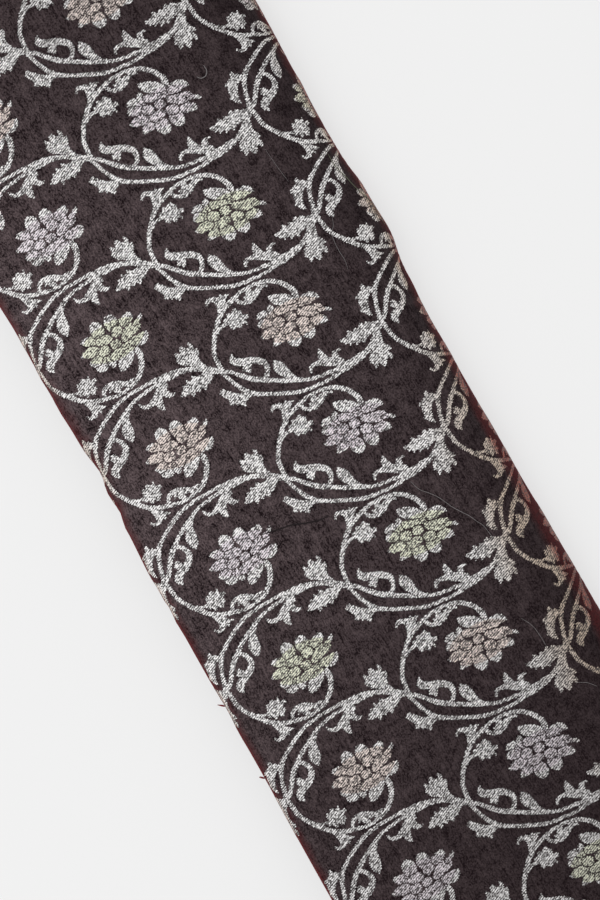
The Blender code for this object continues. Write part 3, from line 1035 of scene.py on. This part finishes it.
def lay_thread(mesh, colours, colour, points, normals, half_widths):
    """A round thread through its points, closed at both ends."""
    rows = len(points)
    lengthwise = np.gradient(points, axis=0)
    beside = np.cross(lengthwise, normals)
    beside /= np.linalg.norm(beside, axis=1, keepdims=True)
    tube = bmesh.ops.create_grid(mesh, x_segments=rows - 1, y_segments=THREAD_SIDES, size=0.5)
    for vertex in tube["verts"]:
        row = round((vertex.co.x + 0.5) * (rows - 1))
        angle = 2.0 * math.pi * (vertex.co.y + 0.5)
        outwards = beside[row] * math.cos(angle) + normals[row] * math.sin(angle)
        vertex.co = points[row] + outwards * half_widths[row]
        vertex[colours] = colour


def put_values(mesh, name, values):
    attribute = mesh.attributes.new(name, "FLOAT", "POINT")
    attribute.data.foreach_set("value", np.ascontiguousarray(values, dtype=np.float32))


def put_map(mesh, name, places):
    """Gives a mesh a UV map, from two numbers for each of its vertices."""
    corners = np.empty(len(mesh.loops), dtype=np.int32)
    mesh.loops.foreach_get("vertex_index", corners)
    layer = mesh.uv_layers.new(name=name)
    layer.uv.foreach_set("vector", places[corners].astype(np.float32).ravel())


def add_node(tree, kind, inputs=None, **settings):
    """Adds a node, sets it and joins its inputs, each named with a value or with a socket."""
    node = tree.nodes.new(kind)
    for name, value in settings.items():
        setattr(node, name, value)
    for name, value in (inputs or {}).items():
        if isinstance(value, bpy.types.NodeSocket):
            tree.links.new(value, node.inputs[name])
        else:
            node.inputs[name].default_value = value
    return node


def calculate(tree, operation, *values):
    inputs = dict(enumerate(values))
    return add_node(tree, "ShaderNodeMath", inputs, operation=operation).outputs[0]


def product(tree, first, *others):
    for other in others:
        first = calculate(tree, "MULTIPLY", first, other)
    return first


def weigh(tree, shares, factor=1.0, **parts):
    """The start of some shares and the share of each part, times a factor, held in 0 to 1."""
    value = shares["start"]
    for name, part in parts.items():
        value = calculate(tree, "MULTIPLY_ADD", part, shares[name], value)
    value = calculate(tree, "MULTIPLY", value, factor)
    return add_node(tree, "ShaderNodeClamp", {"Value": value}).outputs[0]


def mix_colours(tree, share, under, over):
    """Mixes two colours, each a socket or three numbers."""
    inputs = {MIX_SHARE: share, MIX_UNDER: under, MIX_OVER: over}
    for place in (MIX_UNDER, MIX_OVER):
        if not isinstance(inputs[place], bpy.types.NodeSocket):
            inputs[place] = (*inputs[place], 1.0)
    return add_node(tree, "ShaderNodeMix", inputs, data_type="RGBA").outputs[MIX_RESULT]


def follow_ramp(tree, places, ramp, last=None, **settings):
    """The ramp's factor at a place of the cloth. Its last value can come from a socket."""
    apart = add_node(tree, "ShaderNodeSeparateXYZ", {"Vector": places})
    inputs = {
        "Value": apart.outputs[ramp.axis],
        "From Min": ramp.start,
        "From Max": ramp.end,
        "To Min": ramp.first,
        "To Max": ramp.last if last is None else last,
    }
    return add_node(tree, "ShaderNodeMapRange", inputs, **settings).outputs[0]


def start_group(name, numbers, outputs):
    """A new node group with a Vector input, numbers with their defaults, and number outputs."""
    group = bpy.data.node_groups.new(name, "ShaderNodeTree")
    group.interface.new_socket("Vector", in_out="INPUT", socket_type="NodeSocketVector")
    for label, value in numbers.items():
        socket = group.interface.new_socket(label, in_out="INPUT", socket_type="NodeSocketFloat")
        socket.default_value = value
    for label in outputs:
        group.interface.new_socket(label, in_out="OUTPUT", socket_type="NodeSocketFloat")
    return group, group.nodes.new("NodeGroupInput"), group.nodes.new("NodeGroupOutput")


def floats_group():
    """Floats side by side at a slant, each with a shade of its own and a rounded back."""
    group, given, put = start_group(
        "floats", {"Width": 0.0004, "Length": 0.001, "Slant": 0.0}, ("Shade", "Height")
    )
    apart = add_node(group, "ShaderNodeSeparateXYZ", {"Vector": given.outputs["Vector"]})
    cosine = calculate(group, "COSINE", given.outputs["Slant"])
    sine = calculate(group, "SINE", given.outputs["Slant"])
    lengthwise = calculate(
        group, "MULTIPLY_ADD", apart.outputs["X"], cosine,
        calculate(group, "MULTIPLY", apart.outputs["Y"], sine),
    )
    beside = calculate(
        group, "SUBTRACT", calculate(group, "MULTIPLY", apart.outputs["Y"], cosine),
        calculate(group, "MULTIPLY", apart.outputs["X"], sine),
    )
    row = calculate(group, "DIVIDE", beside, given.outputs["Width"])
    row_number = calculate(group, "FLOOR", row)
    start = add_node(
        group, "ShaderNodeTexWhiteNoise", {"W": row_number}, noise_dimensions="1D"
    )
    place = calculate(
        group, "ADD", calculate(group, "DIVIDE", lengthwise, given.outputs["Length"]),
        start.outputs["Value"],
    )
    one_float = add_node(
        group,
        "ShaderNodeCombineXYZ",
        {"X": row_number, "Y": calculate(group, "FLOOR", place)},
    )
    shade = add_node(
        group, "ShaderNodeTexWhiteNoise", {"Vector": one_float.outputs[0]},
        noise_dimensions="2D",
    )
    group.links.new(shade.outputs["Value"], put.inputs["Shade"])
    back = calculate(group, "MULTIPLY", calculate(group, "FRACT", row), math.pi)
    group.links.new(calculate(group, "SINE", back), put.inputs["Height"])
    return group


def cloudy_group():
    """Uneven tone: Cloud is patchy both ways and Streak runs along the cloth."""
    group, given, put = start_group(
        "uneven tone", {"Size": 0.003, "Streak Length": 12.0}, ("Cloud", "Streak")
    )
    larger = calculate(group, "DIVIDE", 1.0, given.outputs["Size"])
    scaled = add_node(
        group, "ShaderNodeVectorMath", {"Vector": given.outputs["Vector"], "Scale": larger},
        operation="SCALE",
    ).outputs[0]
    apart = add_node(group, "ShaderNodeSeparateXYZ", {"Vector": scaled})
    streak = {
        "X": calculate(group, "MULTIPLY", apart.outputs["X"], STREAK_FINER),
        "Y": calculate(group, "DIVIDE", apart.outputs["Y"], given.outputs["Streak Length"]),
    }
    stretched = add_node(group, "ShaderNodeCombineXYZ", streak).outputs[0]
    for name, places, noise in (
        ("Cloud", scaled, CLOUD_NOISE), ("Streak", stretched, STREAK_NOISE)
    ):
        uneven = add_node(group, "ShaderNodeTexNoise", {"Vector": places, **noise}).outputs[0]
        centred = calculate(group, "SUBTRACT", uneven, NOISE_MIDDLE)
        group.links.new(centred, put.inputs[name])
    return group


def painted_end_shade_group():
    """How light the cloth is along its folds: painted shade makes it darker towards both cut ends.
    """
    group, given, put = start_group("fading", {"Lower": 0.45, "Upper": 0.65}, ("Light",))
    ends = [
        follow_ramp(
            group, given.outputs["Vector"], ramp, given.outputs[name],
            interpolation_type="SMOOTHSTEP",
        )
        for name, ramp in (("Lower", LOWER_END_SHADE), ("Upper", UPPER_END_SHADE))
    ]
    group.links.new(product(group, *ends), put.inputs["Light"])
    return group


def edge_group():
    """A ragged band along an edge: Mask is 1 nearer than Near and fades to 0 at Far."""
    group, given, put = start_group(
        "band along an edge",
        {"Distance": 0.0, "Near": 0.002, "Far": 0.008, "Ragged": 0.001},
        ("Mask",),
    )
    noise = add_node(
        group, "ShaderNodeTexNoise", {"Vector": given.outputs["Vector"], **BAND_NOISE}
    )
    centred = calculate(group, "SUBTRACT", noise.outputs[0], NOISE_MIDDLE)
    spread = calculate(group, "MULTIPLY", centred, BAND_NOISE_SPREAD)
    moved = calculate(
        group, "MULTIPLY_ADD", spread, given.outputs["Ragged"], given.outputs["Distance"]
    )
    inputs = {
        "Value": moved,
        "From Min": given.outputs["Near"],
        "From Max": given.outputs["Far"],
        "To Min": 1.0,
        "To Max": 0.0,
    }
    mask = add_node(group, "ShaderNodeMapRange", inputs, interpolation_type="SMOOTHSTEP")
    group.links.new(mask.outputs[0], put.inputs["Mask"])
    return group


GROUP_MAKERS = {
    "floats": floats_group,
    "uneven tone": cloudy_group,
    "fading": painted_end_shade_group,
    "band along an edge": edge_group,
}


def add_group(tree, name, inputs):
    """Places a shared group in a material. The group is made the first time that it is used."""
    group = bpy.data.node_groups.get(name) or GROUP_MAKERS[name]()
    return add_node(tree, "ShaderNodeGroup", inputs, node_tree=group)


def start_material(name, roughness, specular):
    material = bpy.data.materials.new(name)
    material.use_nodes = True
    shader = material.node_tree.nodes["Principled BSDF"]
    shader.inputs["Roughness"].default_value = roughness
    shader.inputs["Specular IOR Level"].default_value = specular
    return material, material.node_tree, shader


def cloth_places(tree):
    return add_node(tree, "ShaderNodeUVMap", uv_map="cloth").outputs[0]


def add_relief(tree, shader, height):
    bump = add_node(tree, "ShaderNodeBump", {"Height": height, **RELIEF})
    tree.links.new(bump.outputs[0], shader.inputs["Normal"])


def mask_bands(tree, places, bands):
    """The strongest of some ragged bands along the panel's edges."""
    masks = []
    for band in bands:
        distance = add_node(tree, "ShaderNodeAttribute", attribute_name=band.measure)
        inputs = {
            "Vector": places,
            "Distance": distance.outputs["Fac"],
            "Near": band.near,
            "Far": band.far,
            "Ragged": band.ragged,
        }
        mask = add_group(tree, "band along an edge", inputs).outputs["Mask"]
        masks.append(calculate(tree, "MULTIPLY", mask, band.share))
    strongest = masks[0]
    for mask in masks[1:]:
        strongest = calculate(tree, "MAXIMUM", strongest, mask)
    return strongest


def ground_material(settings):
    """Dark warp floats with grey ones among them. The weave's red, which shows over the folds, is
    painted there as a sheen, and the ground is painted lighter towards the left fold and darker
    towards the full edge and both cut ends.
    """
    material, tree, shader = start_material("brocade ground", 0.8, 0.10)
    places = cloth_places(tree)
    warp = add_group(tree, "floats", {"Vector": places, **GROUND_WARP}).outputs
    tone = add_group(tree, "uneven tone", {"Vector": places, "Size": GROUND_CLOUD}).outputs
    # Painted light: darker towards both cut ends and on the full edge's slope, lighter to the left
    light = add_group(tree, "fading", {"Vector": places}).outputs["Light"]
    fade = product(
        tree, light, follow_ramp(tree, places, GROUND_PAINTED_LIGHT),
        follow_ramp(tree, places, GROUND_SLOPE_SHADE),
    )
    parts = {"Shade": warp["Shade"], "Cloud": tone["Cloud"], "Streak": tone["Streak"]}
    value = weigh(tree, GROUND_TONE, fade, **parts)
    colour = mix_colours(tree, value, settings.dark_colour, settings.grey_colour)
    # Painted sheen: the weave's red over the folds, and its rim at their very edge
    red = weigh(tree, RED_SHEEN_TONE, mask_bands(tree, places, RED_SHEEN_BANDS), Shade=warp["Shade"])
    colour = mix_colours(tree, red, colour, settings.red_sheen_colour)
    rim = mask_bands(tree, places, RIM_SHEEN_BANDS)
    colour = mix_colours(tree, rim, colour, settings.rim_sheen_colour)
    tree.links.new(colour, shader.inputs["Base Color"])
    add_relief(tree, shader, calculate(tree, "ADD", warp["Height"], warp["Shade"]))
    return material


def pattern_material(settings):
    """Pattern weft in twill lines, silver or tinted. Over the folds it is painted tan and salmon, a
    painted shade and sheen, and it is painted lighter towards the left fold and darker towards both
    cut ends.
    """
    material, tree, shader = start_material("brocade pattern weft", 0.5, 0.2)
    places = cloth_places(tree)
    weft = add_node(tree, "ShaderNodeAttribute", attribute_name="weft_colour")
    twill = add_group(tree, "floats", {"Vector": places, **TWILL_LINE}).outputs
    thread = add_group(tree, "floats", {"Vector": places, **WEFT_THREAD}).outputs
    tone = add_group(tree, "uneven tone", {"Vector": places, "Size": WEFT_CLOUD}).outputs
    # Painted light: darker towards both cut ends, lighter towards the left fold
    light = add_group(tree, "fading", {"Vector": places, **WEFT_END_SHADE}).outputs["Light"]
    fade = product(tree, light, follow_ramp(tree, places, WEFT_PAINTED_LIGHT))
    parts = {"Height": twill["Height"], "Shade": thread["Shade"], "Cloud": tone["Cloud"]}
    value = weigh(tree, WEFT_TONE, fade, **parts)
    # Painted shade and sheen of the weft: tan over the full edge's slope, salmon at the edges
    wide_tan_shade = product(
        tree, mask_bands(tree, places, WIDE_TAN_SHADE_BANDS), follow_ramp(tree, places, TAN_SHADE_SPREAD)
    )
    tan = calculate(tree, "MAXIMUM", mask_bands(tree, places, TAN_SHADE_BANDS), wide_tan_shade)
    bright = mix_colours(tree, tan, weft.outputs["Color"], settings.tan)
    salmon = mask_bands(tree, places, SALMON_SHEEN_BANDS)
    bright = mix_colours(tree, salmon, bright, settings.salmon)
    colour = mix_colours(tree, value, settings.shadow, bright)
    tree.links.new(colour, shader.inputs["Base Color"])
    add_relief(tree, shader, thread["Height"])
    return material


def thread_material():
    """Spun thread in its own colour, a little uneven along its length."""
    material, tree, shader = start_material("loose thread", 0.75, 0.2)
    own = add_node(tree, "ShaderNodeAttribute", attribute_name="thread_colour")
    places = add_node(tree, "ShaderNodeTexCoord").outputs["Object"]
    tone = add_group(tree, "uneven tone", {"Vector": places, "Size": THREAD_CLOUD})
    worn = weigh(tree, THREAD_TONE, Cloud=tone.outputs["Cloud"])
    colour = mix_colours(tree, worn, own.outputs["Color"], THREAD_SHADOW)
    tree.links.new(colour, shader.inputs["Base Color"])
    return material


def link_piece(mesh, material):
    """Puts a finished mesh in the scene as a piece of the part."""
    mesh.materials.append(material)
    mesh.shade_smooth()
    piece = bpy.data.objects.new(mesh.name, mesh)
    bpy.context.scene.collection.objects.link(piece)
    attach(piece, BODY)
    return piece


class BROCADE_OT_weave_pattern(bpy.types.Operator):
    """Weaves the pattern over the layers and folds that show"""

    bl_idname = "brocade.weave_pattern"
    bl_label = "Weave the Pattern"

    def execute(self, context):
        settings = context.scene.brocade_pattern
        cloth = context.scene.brocade_cloth
        surface = cloth_surface(cloth.step_along)
        chart = draw_chart()
        material = pattern_material(settings)
        rise = cloth.thickness / 2.0 + settings.rise
        step = np.diff(surface.shown)
        floor_start = int(np.argmax(step > FLOOR_STEP_FROM))
        full_start = np.flatnonzero(step[:floor_start] > TOP_STEP_FROM)[-1] + 1
        stretches = (
            surface.shown[:full_start + 1],
            surface.shown[full_start:floor_start + 1],
            surface.shown[floor_start:],
        )
        for name, lines in zip(PATTERN_PIECES, stretches):
            mesh = self.flat_runs(name, chart, lines)
            self.lay(mesh, surface, rise, settings)
            link_piece(mesh, material)
        return {"FINISHED"}

    def flat_runs(self, name, chart, lines):
        """The silver and the tinted runs of one piece on a flat mesh, marked with their kind."""
        both = bmesh.new()
        both.verts.layers.float.new("kind")
        for kind in (SILVER, TINTED):
            runs = runs_between(chart, kind, lines)
            mark = runs.verts.layers.float.new("kind")
            for vert in runs.verts:
                vert[mark] = kind
            part = bpy.data.meshes.new("runs")
            runs.to_mesh(part)
            runs.free()
            both.from_mesh(part)
            bpy.data.meshes.remove(part)
        mesh = bpy.data.meshes.new(name)
        both.to_mesh(mesh)
        both.free()
        return mesh

    def lay(self, mesh, surface, rise, settings):
        """Lays flat runs on the cloth, and gives them their places and colours."""
        count = len(mesh.vertices)
        flat = np.empty(count * 3, dtype=np.float32)
        mesh.vertices.foreach_get("co", flat)
        across, along = flat.reshape(count, 3)[:, :2].astype(float).T
        kinds = np.empty(count, dtype=np.float32)
        mesh.attributes["kind"].data.foreach_get("value", kinds)
        mesh.attributes.remove(mesh.attributes["kind"])
        bows = np.array(PICK_BOWS)
        bowed = np.interp(across, bows[:, 0], bows[:, 1])
        bowed *= 1.0 - np.abs(2.0 * along / PANEL_LENGTH) ** PICK_BOW_POWER
        points, _, distances = on_surface(surface, across, along + bowed, rise)
        mesh.vertices.foreach_set("co", points.astype(np.float32).ravel())
        put_map(mesh, "cloth", np.stack((across, along), axis=1))
        for name, distance in distances.items():
            put_values(mesh, name, distance)
        up = (along - FIRST_FLOWER_ALONG) / (REPEAT_ALONG * SQUARE)
        right = (across - FIRST_FLOWER_ACROSS) / (REPEAT_ACROSS * SQUARE)
        row = np.floor(up + TINT_TURN_ALONG).astype(int)
        column = np.floor(right + TINT_TURN_ACROSS).astype(int)
        tints = np.array([getattr(settings, name) for name in TINTS])
        colours = np.ones((count, 4), dtype=np.float32)
        colours[:, :3] = settings.silver
        tinted = kinds > (SILVER + TINTED) / 2.0
        colours[tinted, :3] = tints[(FIRST_TINT + column - row)[tinted] % len(TINTS)]
        weft = mesh.attributes.new("weft_colour", "FLOAT_COLOR", "POINT")
        weft.data.foreach_set("color", colours.ravel())


class BROCADE_OT_lay_threads(bpy.types.Operator):
    """Lays the loose threads on the cloth"""

    bl_idname = "brocade.lay_threads"
    bl_label = "Lay the Threads"

    def execute(self, context):
        settings = context.scene.brocade_threads
        cloth = context.scene.brocade_cloth
        surface = cloth_surface(cloth.step_along)
        face = cloth.thickness / 2.0 + context.scene.brocade_pattern.rise
        tubes = bmesh.new()
        colours = tubes.verts.layers.float_color.new("thread_colour")
        for thread in THREADS:
            rows = smooth_stroke(thread.rows)[::THREAD_STRIDE]
            half_widths = rows[:, 2] * SQUARE
            rise = face + half_widths + rows[:, 3] * SQUARE
            across = FIRST_FLOWER_ACROSS + rows[:, 0] * SQUARE
            along = FIRST_FLOWER_ALONG + rows[:, 1] * SQUARE
            points, normals, _ = on_surface(surface, across, along, rise[:, None])
            colour = (*getattr(settings, thread.finish), 1.0)
            lay_thread(tubes, colours, colour, points, normals, half_widths)
        bmesh.ops.remove_doubles(tubes, verts=tubes.verts, dist=THREAD_WELD)
        bmesh.ops.holes_fill(tubes, edges=tubes.edges, sides=THREAD_SIDES)
        bmesh.ops.recalc_face_normals(tubes, faces=tubes.faces)
        mesh = bpy.data.meshes.new(THREAD_PIECE)
        tubes.to_mesh(mesh)
        tubes.free()
        link_piece(mesh, thread_material())
        return {"FINISHED"}


class BROCADE_OT_fold_cloth(bpy.types.Operator):
    """Lays the sheet of cloth on the eight layers of the panel"""

    bl_idname = "brocade.fold_cloth"
    bl_label = "Fold the Cloth"

    def execute(self, context):
        settings = context.scene.brocade_cloth
        surface = cloth_surface(settings.step_along)
        rows, columns = surface.points.shape[:2]
        sheet = bmesh.new()
        bmesh.ops.create_grid(sheet, x_segments=columns - 1, y_segments=rows - 1, size=0.5)
        order = []
        for vertex in sheet.verts:
            column = round((vertex.co.x + 0.5) * (columns - 1))
            row = round((vertex.co.y + 0.5) * (rows - 1))
            vertex.co = surface.points[row, column]
            order.append((row, column))
        bmesh.ops.reverse_faces(sheet, faces=sheet.faces)
        mesh = bpy.data.meshes.new(CLOTH_PIECE)
        sheet.to_mesh(mesh)
        sheet.free()
        row, column = np.array(order).T
        along = surface.places[row]
        put_map(mesh, "cloth", np.stack((surface.across[row, column], along), axis=1))
        for name in EDGE_DISTANCES:
            put_values(mesh, name, getattr(surface, name)[row, column])
        cloth = link_piece(mesh, ground_material(settings))
        shell = cloth.modifiers.new("thickness", "SOLIDIFY")
        shell.thickness = settings.thickness
        shell.offset = 0.0
        shell.use_even_offset = True
        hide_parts(CAD_CLOTH)
        return {"FINISHED"}


class BROCADE_OT_set_studio(bpy.types.Operator):
    """Sets the floor, the soft light and the camera"""

    bl_idname = "brocade.set_studio"
    bl_label = "Set the Studio"

    def execute(self, context):
        settings = context.scene.brocade_studio
        self.lay_floor(context, settings)
        self.light(context, settings)
        self.aim_camera(context, settings)
        context.scene.view_settings.view_transform = "Standard"
        return {"FINISHED"}

    def lay_floor(self, context, settings):
        floor = bmesh.new()
        half = settings.floor_side / 2.0
        bmesh.ops.create_grid(floor, x_segments=1, y_segments=1, size=half)
        mesh = bpy.data.meshes.new(FLOOR_PIECE)
        floor.to_mesh(mesh)
        floor.free()
        material, _, shader = start_material("pale floor", 0.9, 0.0)
        shader.inputs["Base Color"].default_value = (*settings.floor_colour, 1.0)
        shader.inputs["Emission Color"].default_value = (1.0, 1.0, 1.0, 1.0)
        shader.inputs["Emission Strength"].default_value = settings.floor_glow
        mesh.materials.append(material)
        plain = bpy.data.objects.new(FLOOR_PIECE, mesh)
        context.scene.collection.objects.link(plain)

    def light(self, context, settings):
        world = context.scene.world or bpy.data.worlds.new("studio")
        context.scene.world = world
        world.use_nodes = True
        backdrop = world.node_tree.nodes["Background"]
        backdrop.inputs["Color"].default_value = (1.0, 1.0, 1.0, 1.0)
        backdrop.inputs["Strength"].default_value = settings.room_light
        lamp = bpy.data.lights.new("soft_lamp", "AREA")
        lamp.shape = "SQUARE"
        lamp.size = LAMP_SIDE
        lamp.energy = settings.lamp_power
        stand = bpy.data.objects.new("soft_lamp", lamp)
        stand.location = LAMP_PLACE
        stand.rotation_euler = (-LAMP_PLACE).to_track_quat("-Z", "Y").to_euler()
        context.scene.collection.objects.link(stand)

    def aim_camera(self, context, settings):
        lens = bpy.data.cameras.new("camera")
        lens.sensor_width = SENSOR_WIDTH
        lens.lens = LENS
        camera = bpy.data.objects.new("camera", lens)
        top = CAD_BOUNDS[1].z
        camera.location = (*CAMERA_PLACE, top + settings.camera_height)
        camera.rotation_euler = (0.0, 0.0, settings.camera_turn)
        context.scene.collection.objects.link(camera)
        context.scene.camera = camera


class BROCADE_PT_panel(bpy.types.Panel):
    """The cloth, its pattern and its studio"""

    bl_idname = "BROCADE_PT_panel"
    bl_label = "Folded Brocade Panel"
    bl_space_type = "VIEW_3D"
    bl_region_type = "UI"
    bl_category = "Brocade"

    def draw(self, context):
        scene = context.scene
        for settings, operator in (
            (scene.brocade_pattern, BROCADE_OT_weave_pattern),
            (scene.brocade_threads, BROCADE_OT_lay_threads),
            (scene.brocade_cloth, BROCADE_OT_fold_cloth),
            (scene.brocade_studio, BROCADE_OT_set_studio),
        ):
            box = self.layout.box()
            for name in settings.bl_rna.properties.keys():
                if name not in ("rna_type", "name"):
                    box.prop(settings, name)
            box.operator(operator.bl_idname)


SETTINGS = {
    "brocade_cloth": ClothSettings,
    "brocade_pattern": PatternSettings,
    "brocade_threads": ThreadSettings,
    "brocade_studio": StudioSettings,
}
OPERATORS = (
    BROCADE_OT_weave_pattern,
    BROCADE_OT_lay_threads,
    BROCADE_OT_fold_cloth,
    BROCADE_OT_set_studio,
)


def register():
    for settings in SETTINGS.values():
        bpy.utils.register_class(settings)
    for name, settings in SETTINGS.items():
        setattr(bpy.types.Scene, name, bpy.props.PointerProperty(type=settings))
    for operator in OPERATORS:
        bpy.utils.register_class(operator)
    bpy.utils.register_class(BROCADE_PT_panel)


def unregister():
    bpy.utils.unregister_class(BROCADE_PT_panel)
    for operator in reversed(OPERATORS):
        bpy.utils.unregister_class(operator)
    for name in SETTINGS:
        delattr(bpy.types.Scene, name)
    for settings in reversed(list(SETTINGS.values())):
        bpy.utils.unregister_class(settings)


def main():
    register()
    bpy.ops.brocade.weave_pattern()
    bpy.ops.brocade.lay_threads()
    bpy.ops.brocade.fold_cloth()
    bpy.ops.brocade.set_studio()


if __name__ == "__main__":
    main()
